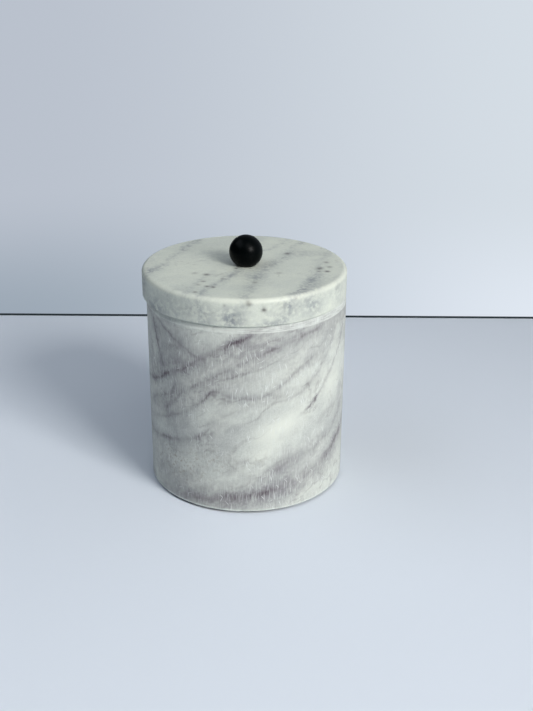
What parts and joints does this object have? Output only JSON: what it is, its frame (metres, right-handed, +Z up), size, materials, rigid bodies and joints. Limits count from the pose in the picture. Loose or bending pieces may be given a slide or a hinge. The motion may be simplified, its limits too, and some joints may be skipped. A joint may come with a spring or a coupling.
{
  "type": "powder jar",
  "caption": "Round marble vanity jar with a thick loose marble lid and a black metal ball knob, for loose powder, puffs or cotton pads.",
  "frame": {"origin": "on the plane that the pads stand on, under the axis of the jar", "axes": "+Z up along the jar's axis, -Y towards the viewer, +X to the viewer's right"},
  "size_m": [0.1019, 0.1018, 0.1283],
  "materials": {
    "honed_marble": "honed, matte, grey-violet veins",
    "polished_marble": "polished, faint grey streaks",
    "black_metal": "satin black coat",
    "steel": "zinc plated",
    "washer_rubber": "matte",
    "pad_felt": "pressed felt"
  },
  "bodies": {
    "jar": {"jar_body": "honed_marble", "foot_pad_1": "pad_felt", "foot_pad_2": "pad_felt", "foot_pad_3": "pad_felt", "foot_pad_4": "pad_felt"},
    "lid_spindle": {"knob_screw": "steel", "cushion_washer": "washer_rubber", "flat_washer": "steel"},
    "lid_and_knob": {"lid": "polished_marble", "knob_ball": "black_metal"}
  },
  "joints": [
    {"name": "lid_lift", "type": "slide", "parent": "jar", "child": "lid_spindle", "axis": [0, 0, 1], "range_m": [0, 0.1]},
    {"name": "lid_turn", "type": "hinge", "parent": "lid_spindle", "child": "lid_and_knob", "pos_m": [-0.0003, 0, 0.0996], "axis": [0, 0, 1], "continuous": true}
  ]
}
